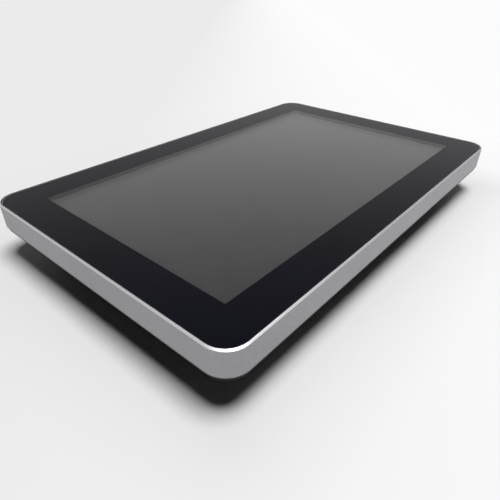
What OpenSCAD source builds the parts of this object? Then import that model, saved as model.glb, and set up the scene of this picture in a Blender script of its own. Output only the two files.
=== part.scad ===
// Point-of-sale touchscreen terminal, lying on its back with the glass up.
// X runs along the long side, Y along the short side (display top towards +Y), Z up.
// The origin is on the table, under the middle of the terminal.

/* [Overall] */
// Width over the front frame
overall_w = 263.6; // [250:0.2:290]
// Depth over the front frame
overall_d = 169.8; // [164:0.2:190]
// Height from the table to the glass
overall_h = 32; // [31.6:0.2:40]
// Radius of the frame's four corners
corner_r = 11.3; // [9:0.1:14]

/* [Front frame] */
// Height of the aluminium frame's side wall
frame_h = 13.4; // [13:0.1:14]
// Polished bevel around the top edge of the frame
bevel = 0.8; // [0.5:0.1:1.2]
// Thickness of the frame's side wall
frame_wall = 2.4; // [1.8:0.1:2.8]
// Width of the ledge that carries the glass
ledge_w = 4.5; // [3.5:0.1:5]
// Thickness of the ledge
ledge_t = 1.6; // [1.2:0.1:1.8]

/* [Glass and display] */
// Thickness of the cover glass
glass_t = 1.1; // [0.7:0.1:1.4]
// Gap between the glass and the frame
glass_gap = 0.3; // [0.2:0.05:0.6]
// Width of the black printed border, from the frame to the window
border_w = 19.3; // [18.4:0.1:21]
// Thickness of the glass bonding tape
tape_t = 0.5; // [0.3:0.1:0.8]
// Thickness of the touch sensor
sensor_t = 0.4; // [0.2:0.05:0.6]
// Air gap between the touch sensor and the display
display_gap = 2; // [1.6:0.1:2.3]
// Thickness of the display's glass cell
cell_t = 1.2; // [0.8:0.1:1.4]
// Thickness of the light guide
guide_t = 2.2; // [1.6:0.1:2.4]

/* [Rear housing] */
// How far the housing's side wall stands in from the frame's side
house_inset = 13.8; // [12:0.1:16]
// How far the housing's wall leans in from its flange to its rear face
house_draft = 4; // [2:0.5:6]
// Corner radius of the housing at its flange
house_r = 14; // [12:0.5:20]
// Thickness of the housing's walls
wall = 2.2; // [1.8:0.1:2.4]
// Thickness of the housing's flange
flange_t = 2; // [1.8:0.1:2.2]
// How far the flange's edge stands in from the frame's side
flange_inset = 0.8; // [0.4:0.1:1.6]
// Number of vent slots in the upper row
vent_count = 15; // [7:2:17]
// Width of a vent slot
vent_w = 2.4; // [1.6:0.2:3]

/* [Cable bay] */
// Width of the cable bay
bay_w = 148; // [147:1:156]
// Thickness of the cable cover
cover_t = 2.4; // [2:0.1:2.4]
// Width of the rails that carry the cable cover
rail_w = 1.5; // [1:0.1:2]

/* [Wall mount] */
// Pitch of the four mounting holes
mount_pitch = 75; // [75:1:76]
// Radius of the mounting thread
mount_hole_r = 2; // [1.5:0.1:2.2]
// Height of the raised mounting pad
pad_t = 0.8; // [0.4:0.1:1.2]

/* [Feet] */
// Height of the rubber feet under the housing
foot_h = 2.5; // [2:0.1:4]
// Radius of the rubber feet
foot_r = 6; // [4:0.5:8]

/* [Electronics] */
// Width of the mainboard
board_w = 174; // [174:1:176]
// Thickness of the mainboard
board_t = 1.6; // [1.2:0.1:1.6]
// Width and depth of the heatsink
sink_w = 50; // [44:1:50]
// Number of heatsink fins
fin_count = 13; // [7:2:17]
// Length of each loudspeaker
speaker_l = 52; // [40:1:60]

/* [Power key] */
// Length of the power key
key_l = 13.4; // [10:0.1:16]
// Height of the power key
key_h = 3.4; // [2.6:0.1:3.6]
// Travel of the power key
key_travel = 0.45; // [0.3:0.05:0.5]

/* [Hidden] */
$fn = 48;

// Clearances
slip = 0.2;         // between a part and the pocket that it drops into
slide_gap = 0.3;    // around a part that slides
thread_gap = 0.05;  // between a screw and its tapped hole
overlap = 0.4;      // how far joined shapes reach into each other
through = 1;        // how far a cut runs past the face that it breaks
edge_in = 0.5;      // from the edge of the glass to the edge of its print and tape

// Levels of the display stack, from the glass down
glass_bot = overall_h - glass_t;
print_t = 0.05;
print_bot = glass_bot - print_t;
ledge_top = print_bot - tape_t;
ledge_bot = ledge_top - ledge_t;
sensor_bot = print_bot - sensor_t;
gasket_bot = sensor_bot - display_gap;
sheet_t = 0.3;      // sheet steel of the display's bezel
cell_top = gasket_bot - sheet_t;
cell_bot = cell_top - cell_t;
films_t = 0.4;
guide_top = cell_bot - films_t;
guide_bot = guide_top - guide_t;
reflector_t = 0.2;
tray_floor = guide_bot - reflector_t;
tray_t = 0.5;
tray_bot = tray_floor - tray_t;
plate_t = 1;        // steel of the brackets and the chassis plate
bracket_bot = tray_bot - plate_t;
chassis_bot = bracket_bot - plate_t;

// Frame
frame_bot = overall_h - frame_h;
open_w = overall_w - 2 * bevel;
open_d = overall_d - 2 * bevel;
open_r = corner_r - bevel;
cav_w = overall_w - 2 * frame_wall;
cav_d = overall_d - 2 * frame_wall;
cav_r = corner_r - frame_wall;
window_w = open_w - 2 * border_w;
window_d = open_d - 2 * border_w;
boss_r = 3.2;
boss_in = 5.4;      // from the short sides of the cavity to a boss's axis
boss_in_y = 4.5;    // from the long sides of the cavity to a boss's axis
boss_x = cav_w / 2 - boss_in;
boss_y = cav_d / 2 - boss_in_y;
rib_w = 2;          // width of the ribs that tie the bosses to the wall
thread_r = 1.3;
screw_r = thread_r - thread_gap;
hole_r = 1.5;
grip = 5;           // length of a screw inside its boss
tap_spare = 2;      // depth of a tapped hole past its screw's end
head_h = 1.2;
head_r = 2.4;
corner_fix_in = 12.4;   // from the long sides of the cavity to the corner screws
side_fix_in = 33.5;     // from the outer bosses to the screws of the long sides
corner_fix_y = cav_d / 2 - corner_fix_in;
side_fix_x = boss_x - side_fix_in;
cover_fix = concat(
    [for (sx = [-1, 1], y = [-corner_fix_y, 0, corner_fix_y]) [sx * boss_x, y]],
    [for (sx = [-1, 1], sy = [-1, 1]) [sx * side_fix_x, sy * boss_y]]
);
bracket_fix_y = 45;
chassis_fix_x = 45;
bracket_fix = [for (sx = [-1, 1], sy = [-1, 1]) [sx * boss_x, sy * bracket_fix_y]];
plate_fix = [for (sx = [-1, 1], sy = [-1, 1]) [sx * chassis_fix_x, sy * boss_y]];
glass_bevel = 0.15;

// Display module
lcd_margin_x = 6;   // from the window to the short edges of the display
lcd_margin_y = 7;   // from the window to the long edges of the display
lcd_w = window_w + 2 * lcd_margin_x;
lcd_d = window_d + 2 * lcd_margin_y;
sensor_margin = 4;
gasket_in = 1;      // from the window to the inner edge of the gasket
gasket_w = 2.5;
bezel_in = 0.6;     // from the window to the inner edge of the steel bezel
bezel_drop = 2;     // how far the bezel's skirt reaches below the cell
polariser_margin = 0.4;
polariser_t = 0.2;
cell_in = 0.7;      // from the edge of the display to its glass cell
film_in = 1.5;      // from the edge of the display to its films
sheet_r = 0.5;      // corner radius of the display's layers
led_count = 24;
led_w = 3;
led_t = 0.8;
led_film_t = 0.3;
led_end = 7;        // from the edge of the display to the ends of the LED film
tray_w = lcd_w - 2 * sheet_t - slip;
tray_d = lcd_d - 2 * sheet_t - slip;
led_y = -(tray_d / 2 - tray_t);

// Steel carriers
ear_half = 7;       // from a bracket's screws to its ends
bracket_grip = 16;  // how far a bracket reaches under the display
bracket_gap = 1.9;  // from a bracket to the wall of the frame
chassis_gap = 1.2;  // from the chassis plate to the wall of the frame
pass_r = 2;         // hole that the power key's cable passes through
pass_gap = 1;       // around a ribbon that passes through the chassis plate

// Rear housing
rear_z = foot_h;
floor_z = rear_z + wall;
flange_bot = frame_bot - flange_t;
house_w = overall_w - 2 * house_inset;
house_d = overall_d - 2 * house_inset;
flange_w = overall_w - 2 * flange_inset;
flange_d = overall_d - 2 * flange_inset;
flange_r = corner_r - flange_inset;
insert_r = 2.9;
insert_h = 6;
pillar_r = 5;
pillar_cap = 1;
pillar_top = rear_z - pad_t + insert_h + pillar_cap;
pad_edge = 0.5;     // from the pillars to the edge of the mounting pad
pad_r = 5;
pad_w = mount_pitch + 2 * (pillar_r + pad_edge);
foot_pocket = 0.7;
foot_in = 8;        // from the rear face's edges to the feet
foot_x = house_w / 2 - house_draft - foot_r - foot_in;
foot_y = house_d / 2 - house_draft - foot_r - foot_in - 1;
vent_pitch = 6;
vent_l = 15;
vent_y = (pad_w + vent_l) / 2 + 4;
side_vent_l = 30;
side_vent_x = pad_w / 2 + 9;
side_vent_count = 5;
boss_post_r = 2.8;  // posts that carry the mainboard

// Cable bay
bay_wall_t = 2;
bay_y = -(mount_pitch / 2 + pillar_r + 1.5) - bay_wall_t;
rail_t = 1;
comb_end = 14;      // from the ends of the cable cover to its comb
grip_rib_w = 1.2;
grip_rib_l = 24;
grip_rib_h = 0.5;
grip_rib_pitch = 2.5;
cover_w = bay_w - 2 * slide_gap;
cover_y0 = -(house_d / 2 - house_draft) + slide_gap;
cover_y1 = bay_y - slide_gap;
comb_h = 3.2;
comb_t = 2;

// Mainboard
stud_h = 1.6;
board_z = floor_z + stud_h;
board_top = board_z + board_t;
board_y0 = bay_y + bay_wall_t + slip;
board_y1 = mount_pitch / 2 - 0.5;
board_fix_in = 4;
board_cut_r = pillar_r + 0.8;
board_fix = concat(
    [for (sx = [-1, 1]) [sx * (board_w / 2 - board_fix_in), board_y0 + 6]],
    [for (sx = [-1, 1]) [sx * (board_w / 2 - board_fix_in), board_y1 - 3]],
    [[24, board_y1 - board_fix_in]]
);
keep_in = 3;        // from the board's edge to what stands on it

// Processor and heatsink
mem_l = 67.6;
mem_socket_l = 70;
mem_x = keep_in - (board_w - mem_socket_l) / 2;
row_gap = 1;
cpu_x = mem_x + (mem_socket_l + sink_w) / 2 + row_gap;
cpu_y = 4.5;
cpu_w = 27;
cpu_t = 1.2;
die_w = 12;
die_d = 10;
die_t = 0.3;
pad_in = 2;         // how far the thermal pad reaches past the die
pad_gap = 0.7;
sink_base_z = board_top + cpu_t + die_t + pad_gap;
sink_base_t = 2.5;
sink_top = chassis_bot - chassis_gap;
fin_t = 1.2;
sink_hole = sink_w / 2 - 4;
leg_r = 2.4;
cut_r = 4.2;

// Memory and cards
mem_y = -18.2;
mem_d = 30;
mem_t = 1;
mem_lift = 1.5;     // from the mainboard to the memory module
mem_socket_d = 6.5;
mem_socket_h = 4;
mem_arm_l = 22;
mem_chip_w = 10;
mem_chip_d = 12;
mem_chip_t = 0.9;
mem_chip_pitch = 15;
card_w = 22;
card_t = 0.8;
card_z = board_top + 1.6;
card_key = 2;       // how far a card goes into its socket
card_edge = 1;      // how much narrower a card's connector is on each side
card_chip_w = 16;
card_chip_d = 8;
card_chip_t = 1.2;
card_chip_pitch = 13;
card_post_r = 2.2;
card_screw_r = 0.85;
card_socket_d = 8.5;
card_socket_h = 3.2;
coin_r = 10;
coin_t = 3.2;
coin_rim = 1;
coin_floor = 1.2;
coin_x = board_fix_in + coin_r + coin_rim - board_w / 2;
coin_y = 25;
card_y = 24.5;
ssd_l = 42;
wifi_l = 30;
// Cards: [place of the connector's edge along X and Y, length, turn, number of chips]
ssd = [board_w / 2 - keep_in - card_w / 2, card_y, ssd_l, 0, 2];
wifi = [coin_x + coin_r + coin_rim + row_gap + card_socket_d - card_key, card_y, wifi_l, 90, 1];
coil_w = 6;
coil_d = 4;
coil_h = 3;
coil_pitch = 9;

// Jacks, from the left end of the bay to the right: [place along X, width, height, depth]
jack_y = board_y0;
dc_size = [-61, 9, 11, 14];
drawer_size = [-50, 12, 13, 18];
lan_size = [-22, 16, 13, 21];
com_size = [-5, 16, 13, 21];
hdmi_size = [12.5, 15, 5.6, 11];
usb_size = [51.5, 13.1, 5.7, 14];
usb_pitch = 14.2;
mouth_d = 12;
mouth_z = board_top + 0.6;
mouth_h = 7.6;
rj_mouth_w = 11.7;
rj12_mouth_w = 9.8;
catch_w = 4;        // slot in a jack's roof for the plug's catch
catch_h = 1.5;
contact_w = 0.4;
contact_h = 0.6;
contact_pitch = 1.1;
contact_in = 4;     // from a jack's mouth to its contacts
dc_bore_r = 3.1;
dc_bore_l = 10;
dc_pin_r = 1;
dc_pin_in = 1.5;
port_back = 3;      // thickness of the block behind a flat port
tongue_in = 1.2;    // from a port's shell to its tongue
port_gap = 0.6;     // between a jack's mouth and the edge of its hole in the bay's wall

// Speakers, between the mainboard and the housing's far wall
speaker_h = 9;
gasket_t = 0.6;
gasket_rim = 3;
speaker_gap = 2;        // between a loudspeaker and the mainboard
speaker_wall_gap = 2.8; // between a loudspeaker and the housing's long wall
speaker_end_gap = 8.8;  // between a loudspeaker and the housing's short wall
speaker_y0 = board_y1 + speaker_gap;
speaker_y1 = house_d / 2 - house_draft - wall - speaker_wall_gap;
speaker_d = speaker_y1 - speaker_y0;
speaker_y = (speaker_y0 + speaker_y1) / 2;
speaker_x = house_w / 2 - house_draft - wall - speaker_end_gap - speaker_l / 2;
speaker_z = floor_z + gasket_t;
driver_l = 0.5 * speaker_l;
driver_d = 0.7 * speaker_d;
cone_h = 2;
grille_l = 0.7 * driver_l;
grille_pitch = driver_d / 6;
grille_w = driver_d / 12;

// Power key
key_y = 25;
key_z = frame_bot + frame_h / 2;
key_gap = 0.3;
key_face = overall_w / 2 - 0.2;
key_in = cav_w / 2 - 0.1;
key_flange_t = 1;
nib_t = 0.3;
key_flange_l = 1.3;     // how far the key's inner flange reaches past the key
key_flange_h = 0.7;
switch_face = key_in - key_flange_t - nib_t - key_travel - thread_gap;
switch_t = 2;
switch_w = 6;
switch_h = 3.2;
switch_back = switch_face - switch_t;
plunger_r = 0.9;
plunger_in = 0.6;       // how far the plunger reaches into the switch
switch_board_w = 19.6;
switch_board_t = 1;
board_back = switch_back - switch_board_t;
groove_lip = 1.5;
switch_board_z0 = tray_bot + slide_gap;
switch_board_z1 = ledge_bot - slide_gap;

// Cables
wire_r = 0.6;
bead_r = 1.1 * wire_r;  // the rounded bends and ends of a wire
wire_sides = 8;
flat_t = 0.3;
tail_w = 16;
tail_l = 6;
tail_y = -(lcd_d / 2 + 2.6);
tail_z = chassis_bot - pass_gap - flat_t;
touch_board_w = 56;
touch_board_t = 1;
touch_board_y0 = tail_y - 3;
touch_board_y1 = touch_board_y0 + 16;
touch_chip_w = 12;
touch_chip_t = 0.9;
ribbon_w = 20;
ribbon_l = 10;
ribbon_y = board_y1 + 2.5;
connector_w = 24;
connector_d = 4.5;
connector_h = 2;
connector_in = 0.5;
button_wire_x = boss_x - 3.5;
button_wire_y = key_y - 5;
button_land = 9;        // from the board's edge to the end of the power key's cable
antenna_w = 24;
antenna_d = 9;
antenna_t = 0.3;
antenna_x = house_w / 2 - house_draft - wall - antenna_d / 2 - 6;
antenna_turn = 6;       // from the wireless card's end to its two cables
antenna_lead = 2;       // half the distance between the two cables
antenna_run_y = board_y1 - 6;
antenna_run_x = board_w / 2 + 4;
antenna_land_y = 10;
wire_lift = 5.2;        // height of the antenna cables over the wireless card
speaker_lead_x = board_w / 2 - 21;
touch_exit_x = 20;      // from the middle to the touch board's cable
touch_exit_l = 3;
touch_land_y = board_y0 + 19;
touch_post_in = 4;

// ---- Shapes that repeat ----

module rounded_2d(w, d, r) {
    square([w - 2 * r, d], center = true);
    square([w, d - 2 * r], center = true);
    for (sx = [-1, 1], sy = [-1, 1])
        translate([sx * (w / 2 - r), sy * (d / 2 - r)]) circle(r);
}

module slab(w, d, h, r) linear_extrude(h) rounded_2d(w, d, r);

module ring(w, d, h, r, in_w, in_d, in_r) difference() {
    slab(w, d, h, r);
    translate([0, 0, -through]) slab(in_w, in_d, h + 2 * through, in_r);
}

// A rounded block whose walls lean: narrower at the bottom by lean on every side
module leaning(w, d, h, r, lean) {
    for (sx = [-1, 1], sy = [-1, 1])
        translate([sx * (w / 2 - r), sy * (d / 2 - r), 0]) cylinder(h = h, r1 = r - lean, r2 = r);
    rotate([90, 0, 90]) translate([0, 0, -(w / 2 - r)]) linear_extrude(w - 2 * r)
        polygon([[-d / 2 + lean, 0], [d / 2 - lean, 0], [d / 2, h], [-d / 2, h]]);
    rotate([90, 0, 0]) translate([0, 0, -(d / 2 - r)]) linear_extrude(d - 2 * r)
        polygon([[-w / 2 + lean, 0], [w / 2 - lean, 0], [w / 2, h], [-w / 2, h]]);
}

// A rounded block with a bevelled top edge
module bevelled(w, d, h, r, b) {
    slab(w, d, h - b, r);
    translate([0, 0, h]) mirror([0, 0, 1]) leaning(w, d, b, r, b);
}

module box(x0, x1, y0, y1, z0, z1) translate([x0, y0, z0]) cube([x1 - x0, y1 - y0, z1 - z0]);

module pill(l, w, h) linear_extrude(h) {
    square([l - w, w], center = true);
    for (s = [-1, 1]) translate([s * (l - w) / 2, 0]) circle(w / 2);
}

// A pan-head screw pointing up, with its head under z = 0 and a cross recess
module screw(r, l, hr, hh) difference() {
    union() {
        cylinder(r = r, h = l);
        translate([0, 0, -hh]) cylinder(r = hr, h = hh);
    }
    for (a = [0, 90]) rotate([0, 0, a])
        translate([-hr * 0.6, -hr * 0.12, -hh - through]) cube([hr * 1.2, hr * 0.24, through + hh * 0.55]);
}

// A round wire through a list of points, with a bead at each bend and end
module wire(points) {
    for (i = [0 : len(points) - 2]) {
        a = points[i];
        d = points[i + 1] - a;
        translate(a) rotate([0, acos(d.z / norm(d)), atan2(d.y, d.x)])
            cylinder(r = wire_r, h = norm(d), $fn = wire_sides);
    }
    for (p = points) translate(p) sphere(bead_r, $fn = wire_sides);
}

// ---- Front: frame, glass and touch ----

module frame_boss(p, z0) {
    side = abs(p.x) == boss_x;
    reach = overlap + (side ? boss_in : boss_in_y);
    translate([p.x, p.y, z0]) cylinder(r = boss_r, h = ledge_bot + overlap - z0);
    if (side) translate([p.x > 0 ? p.x : p.x - reach, p.y - rib_w / 2, z0])
        cube([reach, rib_w, ledge_bot + overlap - z0]);
    else translate([p.x - rib_w / 2, p.y > 0 ? p.y : p.y - reach, z0])
        cube([rib_w, reach, ledge_bot + overlap - z0]);
}

// Two grooved ribs that hold the switch's board behind the key
module board_ribs() difference() {
    half = switch_board_w / 2;
    for (s = [-1, 1]) box(board_back - groove_lip, cav_w / 2 + overlap, key_y + s * half - rib_w / 2,
        key_y + s * half + rib_w / 2, switch_board_z0, ledge_bot + overlap);
    box(board_back - slip / 2, switch_back + slip / 2, key_y - half - slip / 2, key_y + half + slip / 2,
        switch_board_z0 - through, switch_board_z1 + slip);
    box(switch_back, cav_w / 2 - overlap, key_y - half, key_y + half, switch_board_z0 - through, ledge_bot);
}

module front_frame() color([0.74, 0.75, 0.78]) difference() {
    union() {
        difference() {
            translate([0, 0, frame_bot]) bevelled(overall_w, overall_d, frame_h, corner_r, bevel);
            translate([0, 0, ledge_top]) slab(open_w, open_d, overall_h, open_r);
            translate([0, 0, frame_bot - through])
                slab(cav_w, cav_d, ledge_bot - frame_bot + through, cav_r);
            translate([0, 0, ledge_bot - through]) slab(open_w - 2 * ledge_w, open_d - 2 * ledge_w,
                ledge_t + 2 * through, open_r - ledge_w);
        }
        for (p = cover_fix) frame_boss(p, frame_bot);
        for (p = bracket_fix) frame_boss(p, tray_bot);
        for (p = plate_fix) frame_boss(p, bracket_bot);
        board_ribs();
    }
    for (p = cover_fix) translate([p.x, p.y, frame_bot - through])
        cylinder(r = thread_r, h = through + head_h + grip + tap_spare - flange_t);
    for (p = bracket_fix) translate([p.x, p.y, tray_bot - through])
        cylinder(r = thread_r, h = grip - 2 * plate_t + 2 * through);
    for (p = plate_fix) translate([p.x, p.y, bracket_bot - through])
        cylinder(r = thread_r, h = grip - plate_t + 2 * through);
    translate([cav_w / 2 - through, key_y, key_z]) rotate([90, 0, 90])
        pill(key_l + 2 * key_gap, key_h + 2 * key_gap, frame_wall + 2 * through);
}

module cover_glass() color([0.10, 0.11, 0.13, 0.5])
    translate([0, 0, glass_bot])
        bevelled(open_w - 2 * glass_gap, open_d - 2 * glass_gap, glass_t, open_r - glass_gap,
            glass_bevel);

module border_print() color([0.03, 0.03, 0.04])
    translate([0, 0, print_bot])
        ring(open_w - 2 * (glass_gap + edge_in), open_d - 2 * (glass_gap + edge_in), print_t,
            open_r - glass_gap - edge_in, window_w, window_d, sheet_r);

module glass_tape() color([0.12, 0.12, 0.12])
    translate([0, 0, ledge_top])
        ring(open_w - 2 * (glass_gap + edge_in), open_d - 2 * (glass_gap + edge_in), tape_t,
            open_r - glass_gap - edge_in, open_w - 2 * (ledge_w - edge_in), open_d - 2 * (ledge_w - edge_in),
            open_r - ledge_w + edge_in);

module touch_sensor() color([0.35, 0.36, 0.38, 0.4])
    translate([0, 0, sensor_bot])
        slab(window_w + 2 * sensor_margin, window_d + 2 * sensor_margin, sensor_t, sheet_r);

module touch_flex() color([0.75, 0.45, 0.12]) {
    edge = -(window_d / 2 + sensor_margin);
    low = tail_z;
    box(-tail_w / 2, tail_w / 2, tail_y, edge, sensor_bot, sensor_bot + flat_t);
    box(-tail_w / 2, tail_w / 2, tail_y, tail_y + flat_t, low, sensor_bot + flat_t);
    box(-tail_w / 2, tail_w / 2, tail_y, tail_y + tail_l, low, low + flat_t);
}

module touch_controller() color([0.10, 0.35, 0.20]) {
    bot = tail_z - touch_board_t;
    box(-touch_board_w / 2, touch_board_w / 2, touch_board_y0, touch_board_y1, bot, tail_z);
    box(-touch_chip_w / 2, touch_chip_w / 2, tail_y + tail_l + slip, tail_y + tail_l + touch_chip_w / 2,
        bot, tail_z + touch_chip_t);
    for (s = [-1, 1])
        translate([s * (touch_board_w / 2 - touch_post_in), (touch_board_y0 + touch_board_y1) / 2, bot])
            cylinder(r = head_r, h = chassis_bot - bot);
}

module touch_cable() color([0.15, 0.15, 0.16]) {
    z = frame_bot + bead_r + thread_gap;
    wire([[-touch_exit_x, touch_board_y1 + bead_r, z], [-mount_pitch / 2, touch_board_y1 + touch_exit_l, z],
        [-mount_pitch / 2, touch_land_y - touch_exit_l, z],
        [-mount_pitch / 2, touch_land_y, board_top + bead_r]]);
}

// ---- Display module ----

module display_gasket() color([0.08, 0.08, 0.09])
    translate([0, 0, gasket_bot])
        ring(window_w + 2 * (gasket_in + gasket_w), window_d + 2 * (gasket_in + gasket_w), display_gap,
            2 * sheet_r, window_w + 2 * gasket_in, window_d + 2 * gasket_in, sheet_r);

module lcd_bezel() color([0.25, 0.25, 0.27]) {
    translate([0, 0, cell_top]) ring(lcd_w, lcd_d, sheet_t, 2 * sheet_r, window_w + 2 * bezel_in,
        window_d + 2 * bezel_in, sheet_r);
    translate([0, 0, cell_bot - bezel_drop]) ring(lcd_w, lcd_d, cell_t + bezel_drop + sheet_t / 2, 2 * sheet_r,
        lcd_w - 2 * sheet_t, lcd_d - 2 * sheet_t, 2 * sheet_r - sheet_t);
}

module front_polariser() color([0.22, 0.22, 0.24])
    translate([0, 0, cell_top])
        slab(window_w + 2 * polariser_margin, window_d + 2 * polariser_margin, polariser_t, sheet_r);

module lcd_panel() color([0.30, 0.32, 0.36])
    translate([0, 0, cell_bot]) slab(lcd_w - 2 * cell_in, lcd_d - 2 * cell_in, cell_t, sheet_r);

module optical_films() color([0.85, 0.86, 0.88])
    translate([0, 0, guide_top]) slab(lcd_w - 2 * film_in, lcd_d - 2 * film_in, films_t, sheet_r);

module light_guide() color([0.88, 0.92, 0.94])
    box(film_in - lcd_w / 2, lcd_w / 2 - film_in, led_y + led_film_t + led_t + slip, lcd_d / 2 - film_in,
        guide_bot, guide_top);

module led_strip() color([0.95, 0.93, 0.75]) {
    film_w = lcd_w - 2 * led_end;
    pitch = (film_w - led_end) / led_count;
    box(-film_w / 2, film_w / 2, led_y, led_y + led_film_t, guide_bot, guide_top);
    for (i = [0 : led_count - 1])
        translate([(i - (led_count - 1) / 2) * pitch - led_w / 2, led_y + led_film_t, guide_bot + slip])
            cube([led_w, led_t, guide_t - 2 * slip]);
}

module reflector_sheet() color([0.93, 0.94, 0.95])
    translate([0, 0, tray_floor]) slab(lcd_w - 2 * film_in, lcd_d - 2 * film_in, reflector_t, sheet_r);

module lcd_tray() color([0.70, 0.71, 0.73])
    difference() {
        translate([0, 0, tray_bot]) slab(tray_w, tray_d, cell_bot - tray_bot, 2 * sheet_r - slip);
        translate([0, 0, tray_floor])
            slab(tray_w - 2 * tray_t, tray_d - 2 * tray_t, cell_bot - tray_floor + through, sheet_r);
    }

// ---- Steel carriers ----

module bracket() color([0.66, 0.68, 0.70]) difference() {
    box(lcd_w / 2 - bracket_grip, cav_w / 2 - bracket_gap, -bracket_fix_y - ear_half, bracket_fix_y + ear_half,
        bracket_bot, tray_bot);
    for (s = [-1, 1]) translate([boss_x, s * bracket_fix_y, bracket_bot - through])
        cylinder(r = hole_r, h = plate_t + 2 * through);
    translate([boss_x, 0, bracket_bot - through]) cylinder(r = boss_r + slide_gap, h = plate_t + 2 * through);
    box(boss_x, cav_w / 2, -boss_r - slide_gap, boss_r + slide_gap, bracket_bot - through, tray_bot + through);
    translate([button_wire_x, button_wire_y, bracket_bot - through])
        cylinder(r = pass_r, h = plate_t + 2 * through);
}

module display_bracket_left() mirror([1, 0, 0]) bracket();
module display_bracket_right() bracket();

module chassis_plate() color([0.72, 0.74, 0.76]) difference() {
    translate([0, 0, chassis_bot]) slab(cav_w - 2 * chassis_gap, cav_d - 2 * chassis_gap, plate_t,
        cav_r - chassis_gap);
    for (p = cover_fix) {
        side = abs(p.x) == boss_x;
        notch = 2 * (boss_r + slide_gap);
        translate([p.x, p.y, chassis_bot - through]) cylinder(d = notch, h = plate_t + 2 * through);
        translate([p.x + (side ? sign(p.x) * boss_in / 2 : 0), p.y + (side ? 0 : sign(p.y) * boss_in_y / 2),
            chassis_bot + plate_t / 2])
            cube([side ? boss_in : notch, side ? notch : boss_in_y, plate_t + 2 * through], center = true);
    }
    for (p = concat(bracket_fix, plate_fix)) translate([p.x, p.y, chassis_bot - through])
        cylinder(r = hole_r, h = plate_t + 2 * through);
    for (c = [[tail_w, tail_y], [ribbon_w, ribbon_y]])
        box(-c[0] / 2 - pass_gap, c[0] / 2 + pass_gap, c[1] - pass_gap, c[1] + flat_t + pass_gap,
            chassis_bot - through, bracket_bot + through);
    translate([button_wire_x, button_wire_y, chassis_bot - through])
        cylinder(r = pass_r, h = plate_t + 2 * through);
}

module chassis_screws() color([0.55, 0.56, 0.58])
    for (p = concat(bracket_fix, plate_fix)) translate([p.x, p.y, chassis_bot])
        screw(screw_r, grip, head_r, head_h);

// ---- Mainboard and what it carries ----

module mainboard() color([0.05, 0.33, 0.16]) {
    difference() {
        box(-board_w / 2, board_w / 2, board_y0, board_y1, board_z, board_top);
        for (sx = [-1, 1], sy = [-1, 1]) {
            translate([sx * mount_pitch / 2, sy * mount_pitch / 2, board_z - through])
                cylinder(r = board_cut_r, h = board_t + 2 * through);
            box(sx * mount_pitch / 2 - board_cut_r, sx * mount_pitch / 2 + board_cut_r,
                sy > 0 ? mount_pitch / 2 : board_y0 - through, sy > 0 ? board_y1 + through : -mount_pitch / 2,
                board_z - through, board_top + through);
        }
        for (p = board_fix) translate([p.x, p.y, board_z - through])
            cylinder(r = hole_r, h = board_t + 2 * through);
        for (sx = [-1, 1], sy = [-1, 1])
            translate([cpu_x + sx * sink_hole, cpu_y + sy * sink_hole, board_z - through])
                cylinder(r = thread_r, h = board_t + 2 * through);
    }
    // Nut posts that carry the free ends of the two cards
    for (c = [ssd, wifi]) translate([c[0], c[1], board_top - overlap]) rotate([0, 0, c[3]])
        translate([0, card_edge - c[2], 0]) difference() {
            cylinder(r = card_post_r, h = card_z - board_top + overlap);
            translate([0, 0, -through])
                cylinder(r = card_screw_r + thread_gap, h = card_z - board_top + overlap + 2 * through);
        }
    // Coils of the power supply
    for (i = [0 : 3])
        translate([com_size[0] + com_size[1] / 2 + keep_in + i * coil_pitch,
            cpu_y - sink_w / 2 - coil_d - keep_in, board_top - overlap])
            cube([coil_w, coil_d, coil_h + overlap]);
}

module board_screws() color([0.60, 0.61, 0.63]) {
    for (p = board_fix) translate([p.x, p.y, board_top]) mirror([0, 0, 1])
        screw(screw_r, board_t + stud_h, head_r, head_h);
}

module processor() color([0.12, 0.25, 0.18])
    translate([cpu_x, cpu_y, board_top]) {
        translate([-cpu_w / 2, -cpu_w / 2, 0]) cube([cpu_w, cpu_w, cpu_t]);
        translate([-die_w / 2, -die_d / 2, 0]) cube([die_w, die_d, cpu_t + die_t]);
    }

module thermal_pad() color([0.55, 0.60, 0.70])
    translate([cpu_x - die_w / 2 - pad_in, cpu_y - die_d / 2 - pad_in, board_top + cpu_t + die_t])
        cube([die_w + 2 * pad_in, die_d + 2 * pad_in, pad_gap]);

module heatsink() color([0.15, 0.15, 0.16])
    translate([cpu_x, cpu_y, 0]) difference() {
        fin_h = sink_top - sink_base_z - sink_base_t;
        fin_pitch = (sink_w - fin_t) / (fin_count - 1);
        union() {
            translate([-sink_w / 2, -sink_w / 2, sink_base_z]) cube([sink_w, sink_w, sink_base_t]);
            for (i = [0 : fin_count - 1])
                translate([-sink_w / 2 + i * fin_pitch, -sink_w / 2, sink_base_z + sink_base_t - overlap])
                    cube([fin_t, sink_w, fin_h + overlap]);
            for (sx = [-1, 1], sy = [-1, 1]) translate([sx * sink_hole, sy * sink_hole, board_top])
                cylinder(r = leg_r, h = sink_base_z - board_top + overlap);
        }
        for (sx = [-1, 1], sy = [-1, 1]) translate([sx * sink_hole, sy * sink_hole, 0]) {
            cylinder(r = hole_r, h = sink_top + through);
            translate([sx > 0 ? -cut_r : -cut_r - 2, sy > 0 ? -cut_r : -cut_r - 2, sink_base_z + sink_base_t])
                cube([2 * cut_r + 2, 2 * cut_r + 2, fin_h + through]);
        }
    }

module heatsink_screws() color([0.62, 0.63, 0.65]) {
    for (sx = [-1, 1], sy = [-1, 1])
        translate([cpu_x + sx * sink_hole, cpu_y + sy * sink_hole, sink_base_z + sink_base_t])
            mirror([0, 0, 1]) screw(screw_r, sink_base_z + sink_base_t - board_z, head_r, head_h);
}

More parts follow.
